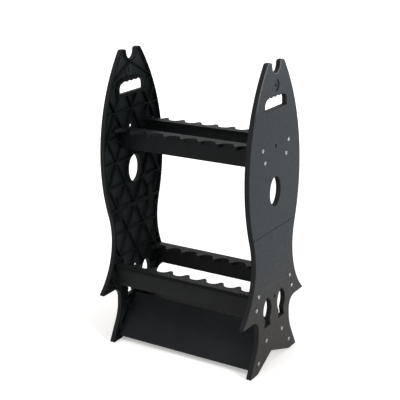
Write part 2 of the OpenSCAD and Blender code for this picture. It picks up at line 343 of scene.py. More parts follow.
def join_rings(
    mesh: bmesh.types.BMesh, a: Sequence[bmesh.types.BMVert], b: Sequence[bmesh.types.BMVert]
) -> None:
    """Join two rings of equally many corners by a band of faces."""
    for i in range(len(a)):
        j = (i + 1) % len(a)
        mesh.faces.new((a[i], a[j], b[j], b[i]))


def cap_ring(mesh: bmesh.types.BMesh, ring: Sequence[bmesh.types.BMVert], height: float) -> None:
    """Close a ring by a fan of triangles to a point on the third axis."""
    tip = mesh.verts.new((0, 0, height))
    for i in range(len(ring)):
        mesh.faces.new((ring[i], ring[(i + 1) % len(ring)], tip))


def rounded_prism(
    outer: Outline, holes: Sequence[Outline], low: float, high: float, rounding: Rounding
) -> bmesh.types.BMesh:
    """Extrude an outline with holes, with all its edges rounded over.

    Args:
        outer: The outline.
        holes: Openings in it, each counter-clockwise.
        low: Height of the lower end.
        high: Height of the upper end.
        rounding: Radii at the two ends.

    Returns:
        The solid, drawn in u and v and extruded along the third axis.
    """
    mesh = bmesh.new()
    rings = []
    for height, inset in rounding.levels(low, high):
        loops = [outer.inset(inset)] + [hole.inset(-inset) for hole in holes]
        rings.append([[mesh.verts.new((u, v, height)) for u, v in loop] for loop in loops])
    for lower, upper in zip(rings, rings[1:]):
        for a, b in zip(lower, upper):
            join_rings(mesh, a, b)
    for ring in (rings[0], rings[-1]):
        verts = [vert for loop in ring for vert in loop]
        _, triangles, origins = triangles_in([[tuple(vert.co[:2]) for vert in loop] for loop in ring])
        for triangle in triangles:
            mesh.faces.new([verts[origins[i][0]] for i in triangle])
    return closed(mesh)


def pocket_cutters(
    area: Sequence[Point], ribs: Sequence[Sequence[Point]], low: float, high: float
) -> bmesh.types.BMesh:
    """Fill what lies inside an area and between ribs with prisms.

    Args:
        area: Loop round the whole field of pockets.
        ribs: Loops of the ribs, collars and bosses that stay. They may cross.
        low: Height of the lower end.
        high: Height of the upper end.

    Returns:
        The prisms as one mesh.
    """
    points, triangles, _ = triangles_in([area, *ribs])
    mesh = bmesh.new()
    used = sorted({i for triangle in triangles for i in triangle})
    floor = {i: mesh.verts.new((*points[i], low)) for i in used}
    roof = {i: mesh.verts.new((*points[i], high)) for i in used}
    edges = {(t[k], t[(k + 1) % 3]) for t in triangles for k in range(3)}
    for triangle in triangles:
        mesh.faces.new([floor[i] for i in triangle])
        mesh.faces.new([roof[i] for i in triangle])
    for a, b in edges:
        if (b, a) not in edges:
            mesh.faces.new((floor[a], floor[b], roof[b], roof[a]))
    return closed(mesh)


def turned(profile: Sequence[Point], sides: int) -> bmesh.types.BMesh:
    """Turn a profile about the third axis.

    Args:
        profile: Pairs of radius and height. The first and the last lie on the axis.
        sides: Facets round the axis.

    Returns:
        The closed solid.
    """
    mesh = bmesh.new()
    angles = [2 * math.pi * i / sides for i in range(sides)]
    rings = [
        [mesh.verts.new((r * math.cos(a), r * math.sin(a), h)) for a in angles] for r, h in profile[1:-1]
    ]
    for a, b in zip(rings, rings[1:]):
        join_rings(mesh, a, b)
    cap_ring(mesh, rings[0], profile[0][1])
    cap_ring(mesh, rings[-1], profile[-1][1])
    return closed(mesh)


def moved(mesh: bmesh.types.BMesh, matrix: Matrix) -> bmesh.types.BMesh:
    """Move a mesh by a matrix, and keep its faces turned outwards if the matrix mirrors it."""
    bmesh.ops.transform(mesh, matrix=matrix, verts=mesh.verts)
    if matrix.determinant() < 0:
        bmesh.ops.reverse_faces(mesh, faces=mesh.faces)
    return mesh


def discard(item: bpy.types.Object) -> None:
    """Remove an object and its mesh."""
    data = item.data
    bpy.data.objects.remove(item)
    bpy.data.meshes.remove(data)


# Axes for solids drawn in u and v: u becomes Y, v becomes Z and the extrusion X
UPRIGHT = Matrix(((0, 0, 1, 0), (1, 0, 0, 0), (0, 1, 0, 0), (0, 0, 0, 1)))


class Moulding:
    """A solid that grows and is cut by other solids before its edges are eased."""

    def __init__(self, name: str, mesh: bmesh.types.BMesh, *coats: "Finish") -> None:
        """Start from a closed mesh, in millimetres.

        Args:
            name: Name of the piece.
            mesh: Its first solid, which is used up.
            coats: Its finishes, in the order of the mesh's material numbers.
        """
        self.coats = coats
        self.item = self._object(name, mesh)

    def _object(self, name: str, mesh: bmesh.types.BMesh) -> bpy.types.Object:
        """Turn a mesh into an object of the scene, with the piece's finishes, and free it."""
        data = bpy.data.meshes.new(name)
        mesh.to_mesh(data)
        mesh.free()
        for coat in self.coats:
            data.materials.append(coat.material())
        item = bpy.data.objects.new(name, data)
        bpy.context.scene.collection.objects.link(item)
        return item

    def _apply(self) -> None:
        """Apply all modifiers of the piece."""
        bpy.context.view_layer.update()
        evaluated = self.item.evaluated_get(bpy.context.evaluated_depsgraph_get())
        data = bpy.data.meshes.new_from_object(evaluated)
        self.item.modifiers.clear()
        old, self.item.data = self.item.data, data
        bpy.data.meshes.remove(old)

    def _combine(self, mesh: bmesh.types.BMesh, operation: str) -> None:
        """Join or cut the piece with another solid, which is used up."""
        other = self._object("other", mesh)
        modifier = self.item.modifiers.new("combine", "BOOLEAN")
        modifier.operation = operation
        modifier.solver = "MANIFOLD"
        modifier.material_mode = "INDEX"
        modifier.object = other
        self._apply()
        discard(other)

    def join(self, mesh: bmesh.types.BMesh) -> None:
        """Add a solid."""
        self._combine(mesh, "UNION")

    def cut(self, mesh: bmesh.types.BMesh) -> None:
        """Take a solid away."""
        self._combine(mesh, "DIFFERENCE")

    def ease(self, width: float, segments: int = 2, angle: float = 50.0) -> None:
        """Round the edges that are still sharp.

        Args:
            width: How far the rounding reaches from each edge.
            segments: Flat strips across it.
            angle: Least angle between the faces of a sharp edge, in degrees.
        """
        mesh = bmesh.new()
        mesh.from_mesh(self.item.data)
        bmesh.ops.remove_doubles(mesh, verts=mesh.verts, dist=WELD)
        limit = math.radians(SAME_PLANE)
        bmesh.ops.dissolve_limit(
            mesh, angle_limit=limit, verts=mesh.verts, edges=mesh.edges, delimit={"MATERIAL"}
        )
        mesh.to_mesh(self.item.data)
        mesh.free()
        bevel = self.item.modifiers.new("ease", "BEVEL")
        bevel.width = width
        bevel.segments = segments
        bevel.limit_method = "ANGLE"
        bevel.angle_limit = math.radians(angle)
        bevel.use_clamp_overlap = True
        self._apply()

    def _level(self) -> None:
        """Give the corners of every wide flat face that face's own normal."""
        data = self.item.data
        normals = [corner.vector.copy() for corner in data.corner_normals]
        for face in data.polygons:
            square = max(abs(part) for part in face.normal) > 1 - SQUARE
            if face.area > (NARROW_FLAT if square else WIDE_FLAT) * MM**2:
                for loop in face.loop_indices:
                    normals[loop] = face.normal
        data.normals_split_custom_set(normals)

    def finish(self, matrix: Matrix, node: str, slot: str) -> bpy.types.Object:
        """Put the piece in its place and hand it over to the frame.

        Args:
            matrix: Place of the piece, in millimetres.
            node: CAD node that it stands for.
            slot: The record's material slot; not used.

        Returns:
            The finished object.
        """
        self.item.data.transform(Matrix.Diagonal((MM, MM, MM, 1)) @ matrix)
        if matrix.determinant() < 0:
            self.item.data.flip_normals()
        self.item.data.shade_smooth()
        weighted = self.item.modifiers.new("flat faces", "WEIGHTED_NORMAL")
        weighted.keep_sharp = False
        weighted.weight = FACE_WEIGHT
        self._apply()
        self._level()
        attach(self.item, BODY)
        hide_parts(node)
        log.info("%s: %d faces, stands for %s", self.item.name, len(self.item.data.polygons), node)
        return self.item


# Finishes


class Finish:
    """Base of all finishes: it builds its material once and shares it.

    Attributes:
        name: Name of the material.
    """

    name: str

    def material(self) -> bpy.types.Material:
        """Give the material, which is made at the first call.

        Returns:
            The shared material.
        """
        made = bpy.data.materials.get(self.name)
        return made if made else self.build(bpy.data.materials.new(self.name))

    def build(self, made: bpy.types.Material) -> bpy.types.Material:
        """Write the material's nodes; each finish has its own."""
        raise NotImplementedError


class Nodes:
    """Short hand for writing the nodes of a material."""

    def __init__(self, made: bpy.types.Material) -> None:
        """Clear the material's nodes and add its shader and the object's own coordinates."""
        made.use_nodes = True
        self.tree = made.node_tree
        self.tree.nodes.clear()
        self.output = self.tree.nodes.new("ShaderNodeOutputMaterial")
        self.shader = self.tree.nodes.new("ShaderNodeBsdfPrincipled")
        self.tree.links.new(self.shader.outputs["BSDF"], self.output.inputs["Surface"])
        self.place = self.tree.nodes.new("ShaderNodeTexCoord").outputs["Object"]

    def link(self, source: bpy.types.NodeSocket, target: bpy.types.NodeSocket) -> None:
        """Join two sockets."""
        self.tree.links.new(source, target)

    def noise(self, size: float, detail: float = 2.0, roughness: float = 0.5) -> bpy.types.NodeSocket:
        """Add a noise.

        Args:
            size: Size of its grains, in millimetres.
            detail: Octaves of finer grain.
            roughness: Strength of the finer grain.

        Returns:
            The noise's value.
        """
        node = self.tree.nodes.new("ShaderNodeTexNoise")
        node.inputs["Scale"].default_value = 1 / (size * MM)
        node.inputs["Detail"].default_value = detail
        node.inputs["Roughness"].default_value = roughness
        self.link(self.place, node.inputs["Vector"])
        return node.outputs["Fac"]

    def spread(
        self, source: bpy.types.NodeSocket, low: float, high: float, start: float = 0.0, end: float = 1.0
    ) -> bpy.types.NodeSocket:
        """Spread a value from one range to another, and clamp it there.

        Args:
            source: The value.
            low: Input that gives start.
            high: Input that gives end.
            start: Output at low.
            end: Output at high.

        Returns:
            The spread value.
        """
        node = self.tree.nodes.new("ShaderNodeMapRange")
        for name, value in (("From Min", low), ("From Max", high), ("To Min", start), ("To Max", end)):
            node.inputs[name].default_value = value
        self.link(source, node.inputs["Value"])
        return node.outputs["Result"]

    def blend(
        self, share: bpy.types.NodeSocket, first: Colour | bpy.types.NodeSocket, second: Colour
    ) -> bpy.types.NodeSocket:
        """Blend two colours.

        Args:
            share: Share of the second colour.
            first: The first colour, or the output that gives it.
            second: The second colour.

        Returns:
            The blended colour.
        """
        node = self.tree.nodes.new("ShaderNodeMix")
        node.data_type = "RGBA"
        sockets = {socket.identifier: socket for socket in node.inputs}
        if isinstance(first, bpy.types.NodeSocket):
            self.link(first, sockets["A_Color"])
        else:
            sockets["A_Color"].default_value = (*first, 1)
        sockets["B_Color"].default_value = (*second, 1)
        self.link(share, node.inputs["Factor"])
        return next(socket for socket in node.outputs if socket.identifier == "Result_Color")

    def height(self) -> bpy.types.NodeSocket:
        """Give the height above the floor, in metres."""
        node = self.tree.nodes.new("ShaderNodeSeparateXYZ")
        self.link(self.place, node.inputs["Vector"])
        return node.outputs["Z"]

    def distance(self) -> bpy.types.NodeSocket:
        """Measure the distance from the object's origin, in metres."""
        node = self.tree.nodes.new("ShaderNodeVectorMath")
        node.operation = "LENGTH"
        self.link(self.place, node.inputs[0])
        return node.outputs["Value"]

    def product(self, first: bpy.types.NodeSocket, second: bpy.types.NodeSocket) -> bpy.types.NodeSocket:
        """Multiply two values."""
        node = self.tree.nodes.new("ShaderNodeMath")
        node.operation = "MULTIPLY"
        self.link(first, node.inputs[0])
        self.link(second, node.inputs[1])
        return node.outputs["Value"]

    def bump(
        self, height: bpy.types.NodeSocket, depth: float, under: bpy.types.NodeSocket | None = None
    ) -> bpy.types.NodeSocket:
        """Turn a height into a bump.

        Args:
            height: The height, from 0 to 1.
            depth: Depth of the relief, in millimetres.
            under: A coarser bump that this one lies on.

        Returns:
            The bumped normal.
        """
        node = self.tree.nodes.new("ShaderNodeBump")
        node.inputs["Strength"].default_value = 1.0
        node.inputs["Distance"].default_value = depth * MM
        self.link(height, node.inputs["Height"])
        if under:
            self.link(under, node.inputs["Normal"])
        return node.outputs["Normal"]


@dataclass(frozen=True)
class Grade:
    """A colour that a finish turns to with height.

    Attributes:
        colour: The other colour.
        start: Height at which it begins to show, in metres.
        end: Height from which it shows fully, in metres.
    """

    colour: Colour
    start: float
    end: float


@dataclass(frozen=True)
class MouldedPlastic(Finish):
    """Injection-moulded plastic with a spark-eroded grain, flow marks and light handling marks.

    Attributes:
        name: Name of the material.
        colour: Its main colour.
        pale: Colour of its rubbed patches.
        gloss: Strength of its reflection.
        sheen_low: Roughness of its smoothest patches.
        sheen_high: Roughness of its dullest patches.
        grain: Size of the grain, in millimetres.
        grain_depth: Depth of the grain, in millimetres.
        tint: Tint of its reflection.
        grades: Painted reflections, highlights, light and shade that show at some height.
        flow: Size of the flow marks, in millimetres.
        smear: Size of the handling marks, in millimetres.
        wave: Size of the uneven places in the surface, in millimetres.
        wave_depth: Their depth, in millimetres.
        rub_depth: Depth of the rubbed patches, in millimetres.
    """

    name: str
    colour: Colour
    pale: Colour
    gloss: float = 0.35
    sheen_low: float = 0.38
    sheen_high: float = 0.52
    grain: float = 0.7
    grain_depth: float = 0.012
    tint: Colour = (1.0, 1.0, 1.0)
    grades: tuple[Grade, ...] = ()
    flow: float = 70.0
    smear: float = 9.0
    wave: float = 45.0
    wave_depth: float = 0.04
    rub_depth: float = 0.01

    def build(self, made: bpy.types.Material) -> bpy.types.Material:
        """Write the plastic's nodes.

        Args:
            made: The empty material.

        Returns:
            The same material, finished.
        """
        nodes = Nodes(made)
        sockets = nodes.shader.inputs
        flow = nodes.noise(self.flow, 3)
        smear = nodes.noise(self.smear, 4, 0.6)
        grain = nodes.noise(self.grain, 2)
        wave = nodes.noise(self.wave, 1)
        rub = nodes.spread(smear, *RUB_RANGE)
        colour = nodes.blend(nodes.spread(flow, *FLOW_RANGE), self.colour, self.pale)
        # The grades blend in painted reflections, highlights, light and shade by height
        for grade in self.grades:
            share = nodes.spread(nodes.height(), grade.start, grade.end)
            colour = nodes.blend(share, colour, grade.colour)
        nodes.link(colour, sockets["Base Color"])
        sheen = nodes.spread(smear, *SHEEN_RANGE, self.sheen_high, self.sheen_low)
        nodes.link(sheen, sockets["Roughness"])
        scuffed = nodes.bump(rub, self.rub_depth, nodes.bump(wave, self.wave_depth))
        nodes.link(nodes.bump(grain, self.grain_depth, scuffed), sockets["Normal"])
        sockets["Specular IOR Level"].default_value = self.gloss
        sockets["Specular Tint"].default_value = (*self.tint, 1)
        return made


@dataclass(frozen=True)
class ZincPlate(Finish):
    """Bright zinc plating with fine turning marks and dull patches.

    Attributes:
        name: Name of the material.
        bright: Colour where it is polished.
        dull: Colour where it has dulled.
        polish: Roughness of the bright patches.
        haze: How much rougher the dull patches are.
        cloud: Size of the patches, in millimetres.
        marks: Width of the turning marks, in millimetres.
        marks_depth: Their depth, in millimetres.
    """

    name: str
    bright: Colour
    dull: Colour
    polish: float = 0.22
    haze: float = 0.2
    cloud: float = 2.5
    marks: float = 0.35
    marks_depth: float = 0.008

    def build(self, made: bpy.types.Material) -> bpy.types.Material:
        """Write the plating's nodes.

        Args:
            made: The empty material.

        Returns:
            The same material, finished.
        """
        nodes = Nodes(made)
        sockets = nodes.shader.inputs
        cloud = nodes.noise(self.cloud, 3)
        marks = nodes.noise(self.marks, 2)
        colour = nodes.blend(nodes.spread(cloud, *DULL_RANGE), self.bright, self.dull)
        nodes.link(colour, sockets["Base Color"])
        sheen = nodes.spread(cloud, *HAZE_RANGE, self.polish, self.polish + self.haze)
        nodes.link(sheen, sockets["Roughness"])
        nodes.link(nodes.bump(marks, self.marks_depth), sockets["Normal"])
        sockets["Metallic"].default_value = 1.0
        return made


# Colours that the finishes turn to with height, each of them painted light: a painted reflection of
# the warm floor, darker and warmer towards the feet; a lighter, cooler painted reflection on the head;
# a painted highlight on the head's outer edge; painted light at the top and the waist of the panels'
# inner side; and painted shade on the upper bars
PAINTED_FLOOR_REFLECTION = Grade((0.0100, 0.0080, 0.0066), 0.26, 0.12)
PAINTED_HEAD_REFLECTION = Grade((0.020, 0.0245, 0.0285), 0.57, 0.68)
PAINTED_EDGE_HIGHLIGHT = Grade((0.090, 0.093, 0.096), 0.575, 0.63)
PAINTED_HEAD_LIGHT = Grade((0.0190, 0.0224, 0.0242), 0.61, 0.665)
PAINTED_WAIST_LIGHT = Grade((0.0160, 0.0196, 0.0208), 0.4, 0.26)
PAINTED_UPPER_SHADE = Grade((0.0026, 0.0036, 0.0042), 0.3, 0.45)

# Tints of the reflections on the panels' outer and inner sides
OUTER_COOL = (0.93, 0.98, 1.0)
INNER_COOL = (0.84, 0.98, 1.0)

# The outer face; its grades paint a reflection of the warm floor low down and a lighter, cooler reflection
# on the head
PANEL_FACE = MouldedPlastic(
    name="panel_face",
    colour=(0.0060, 0.0098, 0.0132),
    pale=(0.0084, 0.0123, 0.0160),
    gloss=0.12,
    sheen_low=0.36,
    sheen_high=0.46,
    tint=OUTER_COOL,
    grades=(PAINTED_FLOOR_REFLECTION, PAINTED_HEAD_REFLECTION),
)
# The head's outer edge, paler above a height: a painted highlight
PANEL_LIP_HIGHLIGHT = replace(PANEL_FACE, name="panel_lip_highlight", grades=(PAINTED_EDGE_HIGHLIGHT,))
# Pocket walls and floors of the inner side, lighter than the rib tops of the same plastic: painted light
# against the shade in the pockets; its grades add more painted light at the head and the waist
PANEL_BACK_PAINTED_LIGHT = MouldedPlastic(
    name="panel_back_painted_light",
    colour=(0.0088, 0.0112, 0.0120),
    pale=(0.0112, 0.0138, 0.0148),
    gloss=0.03,
    sheen_low=0.5,
    sheen_high=0.62,
    tint=INNER_COOL,
    grades=(PAINTED_HEAD_LIGHT, PAINTED_WAIST_LIGHT),
)
# Rib tops and inner rim, darker than the pockets of the same plastic: painted shade against the light that
# falls on them
PANEL_RIBS_PAINTED_SHADE = MouldedPlastic(
    name="panel_ribs_painted_shade",
    colour=(0.0032, 0.0040, 0.0042),
    pale=(0.0045, 0.0053, 0.0056),
    gloss=0.03,
    sheen_low=0.55,
    sheen_high=0.7,
)
PANEL_EDGE = MouldedPlastic(
    name="panel_edge",
    colour=(0.0085, 0.0096, 0.0104),
    pale=(0.0115, 0.0126, 0.0134),
    gloss=0.08,
    sheen_low=0.45,
    sheen_high=0.58,
)
# Bar plastic; its grade darkens the upper bars as painted shade
BAR_PLASTIC = MouldedPlastic(
    name="bar_plastic",
    colour=(0.0062, 0.0068, 0.0071),
    pale=(0.0088, 0.0095, 0.0098),
    gloss=0.1,
    sheen_low=0.42,
    sheen_high=0.56,
    grades=(PAINTED_UPPER_SHADE,),
)
# The shelf's straight edge, darker than the bar: painted shade along that edge
BAR_LIP_SHADE = MouldedPlastic(
    name="bar_lip_shade",
    colour=(0.0034, 0.0038, 0.0040),
    pale=(0.0048, 0.0053, 0.0055),
    gloss=0.05,
    sheen_low=0.5,
    sheen_high=0.62,
)
BOARD_PLASTIC = MouldedPlastic(
    name="board_plastic",
    colour=(0.0062, 0.0072, 0.0080),
    pale=(0.0092, 0.0104, 0.0114),
    gloss=0.1,
    sheen_low=0.45,
    sheen_high=0.6,
    grain=1.1,
    grain_depth=0.02,
)
SCREW_ZINC = ZincPlate("screw_zinc", bright=(0.33, 0.34, 0.35), dull=(0.21, 0.22, 0.23))
PIN_STEEL = ZincPlate("pin_steel", bright=(0.55, 0.56, 0.57), dull=(0.4, 0.4, 0.41), polish=0.3)


class PanelCoat(IntEnum):
    """Number of each finish on a side panel's mesh."""

    FACE = 0
    # BACK is painted light on the pocket walls and floors, RIBS painted shade on the rib tops, LIP a painted
    # highlight on the head's outer edge
    BACK = 1
    EDGE = 2
    RIBS = 3
    LIP = 4


class BarCoat(IntEnum):
    """Number of each finish on a rod bar's mesh."""

    BODY = 0
    # LIP is painted shade along the shelf's straight edge
    LIP = 1


# The rack's sub-assemblies


@dataclass(frozen=True)
class Screw:
    """A pan-head screw with a crossed recess and a threaded shank.

    Attributes:
        head: Diameter of the head.
        head_height: Height of the head.
        shank: Diameter over the thread.
        length: Length under the head.
        tip: Length of the pointed tip.
        pitch: Pitch of the thread.
        core: Share of the thread's diameter that its core takes up.
        rim: Height of the head's upright edge.
        chamfer: Width of the chamfer under that edge.
        recess: Length and width of the recess's arms across the head.
        recess_depth: Depth of the recess below the head's top.
        recess_clear: How far above the head the recess's cutter starts.
        narrowing: Shares of the arms' length and width that are left at the recess's floor.
        root: How far the shank reaches into the head.
    """

    head: float = 9.0
    head_height: float = 1.4
    shank: float = 4.2
    length: float = 22.0
    tip: float = 4.0
    pitch: float = 1.6
    core: float = 0.78
    rim: float = 0.5
    chamfer: float = 0.2
    recess: Point = (4.8, 1.5)
    recess_depth: float = 1.7
    recess_clear: float = 0.5
    narrowing: Point = (0.5, 0.7)
    root: float = 0.3

    def _head(self) -> bmesh.types.BMesh:
        """Turn the head: a flat seat, a short upright edge and a domed crown."""
        radius, steps = self.head / 2, 7
        turns = [math.pi / 2 * i / steps for i in range(steps)]
        rise = self.head_height - self.rim
        crown = [(radius * math.cos(t), self.rim + rise * math.sin(t)) for t in turns]
        foot = [(0, 0), (radius - self.chamfer, 0), (radius, self.chamfer)]
        return turned([*foot, *crown, (0, self.head_height)], HEAD_SIDES)

    def _recess(self) -> bmesh.types.BMesh:
        """Cut the crossed recess, which narrows downwards."""
        mesh = bmesh.new()
        long, wide = self.recess[0] / 2, self.recess[1] / 2
        cross = []
        for turn in range(4):
            cos, sin = round(math.cos(turn * math.pi / 2)), round(math.sin(turn * math.pi / 2))
            arm = [(long, -wide), (long, wide), (wide, wide)]
            cross += [(u * cos - v * sin, u * sin + v * cos) for u, v in arm]
        roof = self.head_height + self.recess_clear
        base = self.head_height - self.recess_depth
        shrink = self.narrowing
        top = [mesh.verts.new((u, v, roof)) for u, v in cross]
        floor = [mesh.verts.new((u * shrink[0], v * shrink[1], base)) for u, v in cross]
        mesh.faces.new(top)
        mesh.faces.new(floor)
        join_rings(mesh, top, floor)
        return closed(mesh)

    def _shank(self) -> bmesh.types.BMesh:
        """Turn the shank, with a thread that winds down to the tip."""
        sides, steps_per_turn, steepness = 16, 6, 4
        core, crest = self.shank / 2 * self.core, self.shank / 2
        steps = math.ceil(self.length / self.pitch * steps_per_turn)
        mesh = bmesh.new()
        rings = []
        for i in range(steps):
            depth = self.length * i / steps
            taper = min(1.0, (self.length - depth) / self.tip)
            ring = []
            for j in range(sides):
                phase = (depth / self.pitch - j / sides) % 1
                ridge = max(0.0, 1 - abs(phase - 0.5) * steepness) if depth > self.pitch else 0.0
                radius = (core + (crest - core) * ridge) * taper
                angle = 2 * math.pi * j / sides
                place = (radius * math.cos(angle), radius * math.sin(angle), self.root - depth)
                ring.append(mesh.verts.new(place))
            rings.append(ring)
        for a, b in zip(rings, rings[1:]):
            join_rings(mesh, a, b)
        cap_ring(mesh, rings[0], self.root)
        cap_ring(mesh, rings[-1], -self.length)
        return closed(mesh)

    def solid(self) -> bmesh.types.BMesh:
        """Build one screw that points down from the height 0.

        Returns:
            The screw's closed mesh.
        """
        screw = Moulding("screw", self._head(), SCREW_ZINC)
        screw.join(self._shank())
        screw.cut(self._recess())
        mesh = bmesh.new()
        mesh.from_mesh(screw.item.data)
        discard(screw.item)
        return mesh


@dataclass
class Rack:
    """Sizes that the sub-assemblies share.

    Attributes:
        width: Width across the outer faces of the side panels.
        height: Height from the feet to the lips.
        panel: Thickness of a side panel.
        seam: Height of the joint between the halves of a side panel.
        upper_bar: Distance of an upper bar's straight edge from the middle, and height of its top.
        lower_bar: The same of a lower bar.
    """

    width: float = 380.0
    height: float = 684.0
    panel: float = 12.0
    seam: float = 318.0
    upper_bar: Point = (40.0, 512.0)
    lower_bar: Point = (91.0, 191.0)

    @property
    def inner(self) -> float:
        """Distance of a side panel's inner face from the middle."""
        return self.width / 2 - self.panel


@dataclass
class RodBar:
    """A notched shelf over an upright web, with bosses for its screws.

    Attributes:
        rack: The rack's shared sizes.
        notches: Number of notches.
        notch: Radius of a notch.
        depth: Depth of the shelf.
        shelf: Thickness of the shelf.
        web: Thickness of the web.
        web_inset: Overhang of the straight edge beyond the web.
        web_foot: Radius of the rounding of the web's lower edges.
        fillet: Radius of the fillets between the web and the shelf.
        flush: Least distance of the fillet from the straight edge.
        overlap: How far the web reaches into the shelf.
        height: Height from the web's lower edge to the shelf's top.
        boss: Diameter of the screw bosses.
        boss_length: Length of the screw bosses.
        cover: Thickness of plastic between the upper boss and the shelf's top.
        screw_up: Height of the lower screw above the web's lower edge.
        bore: Diameter of the screw holes.
        edges: Rounding of the shelf's lower and upper edges.
        ends: Rounding of the web's two ends.
        bevel: Width of the bevel on the edges where solids meet.
    """

    rack: Rack
    notches: int = 8
    notch: float = 17.0
    depth: float = 36.0
    shelf: float = 8.0
    web: float = 8.0
    web_inset: float = 4.0
    web_foot: float = 1.5
    fillet: float = 2.5
    flush: float = 0.6
    overlap: float = 1.0
    height: float = 49.0
    boss: float = 11.0
    boss_length: float = 11.0
    cover: float = 1.0
    screw_up: float = 14.0
    bore: float = 4.5
    edges: Rounding = Rounding(0.8, 1.2)
    ends: Rounding = Rounding(0.4, 0.4, 2)
    bevel: float = 0.5

    @property
    def screws(self) -> list[Point]:
        """Depth and height of the bar's two screws, from its straight edge and its top."""
        upper = (self.depth / 2, -self.boss / 2 - self.cover)
        return [upper, (self.web_inset + self.web / 2, self.screw_up - self.height)]

    def _shelf(self) -> bmesh.types.BMesh:
        """Extrude the shelf, with round notches and round teeth between them."""
        inner = self.rack.inner
        pitch = 2 * inner / self.notches
        tooth = ((pitch / 2) ** 2 - self.notch**2) / (2 * self.notch)
        turn = math.degrees(math.atan2(tooth, pitch / 2))
        edge: list[Point] = [(-inner, 0.0), (inner, 0.0)]
        for i in range(self.notches, -1, -1):
            centre = (-inner + i * pitch, self.depth - tooth)
            start, end = 90 if i == self.notches else turn, 90 if i == 0 else 180 - turn
            edge += arc(centre, tooth, start, end, BORE_STEP)
            if i:
                edge += arc((centre[0] - pitch / 2, self.depth), self.notch, -turn, turn - 180)
        return rounded_prism(Outline.through(edge), [], -self.shelf, 0, self.edges)

    def _web(self) -> bmesh.types.BMesh:
        """Extrude the web, which is rounded below and filleted into the shelf above."""
        low, high = self.web_inset, self.web_inset + self.web
        top, foot, fillet = -self.shelf, self.web_foot, self.fillet
        half = [
            *arc((high - foot, -self.height + foot), foot, -90, 0, EDGE_STEP),
            *arc((high + fillet, top - fillet), fillet, 180, 90, EDGE_STEP),
            (high + fillet, top + self.overlap),
        ]
        middle = (low + high) / 2
        other = [(2 * middle - u, v) for u, v in reversed(half)]
        rear = [(max(u, self.flush), v) for u, v in other]
        inner = self.rack.inner
        solid = rounded_prism(Outline.through(half + rear), [], -inner, inner, self.ends)
        return moved(solid, UPRIGHT)

    def build(self, name: str) -> Moulding:
        """Build the bar, with its straight edge at Y = 0 and its shelf's top at Z = 0.

        Args:
            name: Name of the piece.

        Returns:
            The moulding, not yet in its place.
        """
        shelf = self._shelf()
        # The shelf's straight edge takes the darker coat: painted shade along that edge
        for face in shelf.faces:
            straight_edge = face.calc_center_median().y < self.edges.high
            face.material_index = BarCoat.LIP if straight_edge else BarCoat.BODY
        bar = Moulding(name, shelf, BAR_PLASTIC, BAR_LIP_SHADE)
        bar.join(self._web())
        fit_screws(bar, self.rack, self.screws, self.boss, self.boss_length, self.bore)
        bar.ease(self.bevel)
        return bar


@dataclass
class BaseBoard:
    """A sloping board between the feet of the side panels.

    Attributes:
        rack: The rack's shared sizes.
        thickness: Thickness of the board.
        slope: Its slope from the level, in degrees.
        start: Depth and height of its upper screw.
        pitch: Distance between its two screws.
        below: Width of the board below the lower screw.
        above: Width of the board above the upper screw.
        boss: Diameter of the screw bosses.
        boss_length: Length of the screw bosses.
        bore: Diameter of the screw holes.
        edge: Radius of the rounding of its long edges.
        ends: Rounding of its two ends.
        bevel: Width of the bevel on the edges where solids meet.
    """

    rack: Rack
    thickness: float = 8.0
    slope: float = 49.0
    start: Point = (36.5, 67.0)
    pitch: float = 54.5
    below: float = 20.0
    above: float = 37.0
    boss: float = 11.0
    boss_length: float = 11.0
    bore: float = 4.5
    edge: float = 2.2
    ends: Rounding = Rounding(0.5, 0.5, 2)
    bevel: float = 0.4

    @property
    def screws(self) -> list[Point]:
        """Depth and height of the board's two screws."""
        turn = math.radians(self.slope)
        return [
            (self.start[0] + s * math.cos(turn), self.start[1] - s * math.sin(turn)) for s in (0, self.pitch)
        ]

    def build(self, name: str) -> Moulding:
        """Build the rear board in its place.

        Args:
            name: Name of the piece.

        Returns:
            The moulding.
        """
        half, edge = self.thickness / 2, self.edge
        low, high = -self.pitch - self.below, self.above
        corners = [(low + edge, edge - half, 180), (high - edge, edge - half, 270)]
        corners += [(high - edge, half - edge, 0), (low + edge, half - edge, 90)]
        outline = [p for u, v, a in corners for p in arc((u, v), edge, a, a + 90, BORE_STEP)]
        inner = self.rack.inner
        plate = rounded_prism(Outline.through(outline), [], -inner, inner, self.ends)
        turn = Matrix.Rotation(math.radians(180 - self.slope), 4, "X")
        place = Matrix.Translation((0, *self.start)) @ turn @ UPRIGHT
        board = Moulding(name, moved(plate, place), BOARD_PLASTIC)
        fit_screws(board, self.rack, self.screws, self.boss, self.boss_length, self.bore)
        board.ease(self.bevel)
        return board


def fit_screws(
    piece: Moulding, rack: Rack, places: Sequence[Point], boss: float, length: float, bore: float
) -> None:
    """Add a boss and a screw hole at each end of a bar or a board, for each of its screws.

    Args:
        piece: The bar or board.
        rack: The rack's shared sizes.
        places: Depth and height of the screws.
        boss: Diameter of a boss.
        length: Length of a boss.
        bore: Diameter of a hole.
    """
    for sign in (-1, 1):
        ends = sorted((sign * rack.inner, sign * (rack.inner - length)))
        hole = sorted((sign * (rack.inner + OVERCUT), sign * (rack.inner - length - OVERCUT)))
        for place in places:
            ring = Outline.through(arc(place, boss / 2, 0, 360, TIP_STEP))
            piece.join(moved(rounded_prism(ring, [], *ends, SHARP), UPRIGHT))
        for place in places:
            ring = Outline.through(arc(place, bore / 2, 0, 360, BORE_STEP))
            piece.cut(moved(rounded_prism(ring, [], *hole, SHARP), UPRIGHT))


